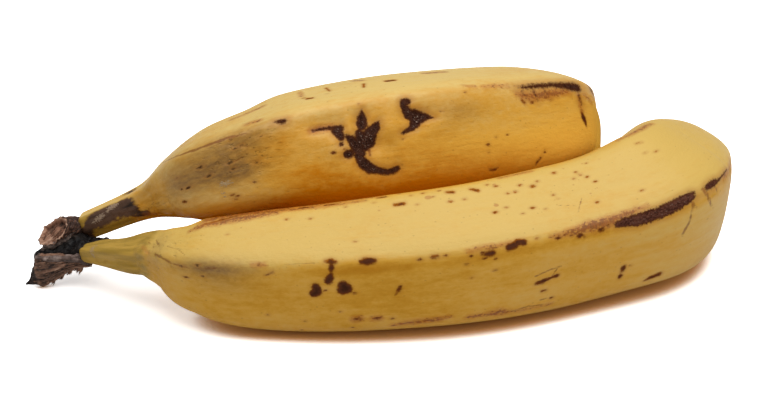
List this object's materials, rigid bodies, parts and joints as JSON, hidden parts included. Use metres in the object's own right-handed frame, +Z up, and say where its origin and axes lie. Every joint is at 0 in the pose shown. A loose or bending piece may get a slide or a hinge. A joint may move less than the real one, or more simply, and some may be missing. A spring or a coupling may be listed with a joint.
{
  "type": "bananas joined at the crown",
  "caption": "Ripe yellow bananas joined at their dark dried crown, with brown bruises and freckles, lying on a table.",
  "frame": {"origin": "on the table under the middle of the pair's bounding box", "axes": "+X along the pair from the crown to the blossom ends, +Y from the front fruit to the rear fruit, +Z up"},
  "size_m": [0.1817, 0.1067, 0.0495],
  "materials": {
    "peel": "satin ripe yellow peel with brown bruises and freckles, greener at the stalks",
    "dried_stem": "matt dried brown and black stem tissue, torn and fibrous",
    "dried_flower": "matt black-brown dried flower scar"
  },
  "bodies": {
    "root": {"front_banana": "peel", "rear_banana": "peel", "crown": "dried_stem", "front_blossom_end": "dried_flower", "rear_blossom_end": "dried_flower"}
  },
  "joints": []
}
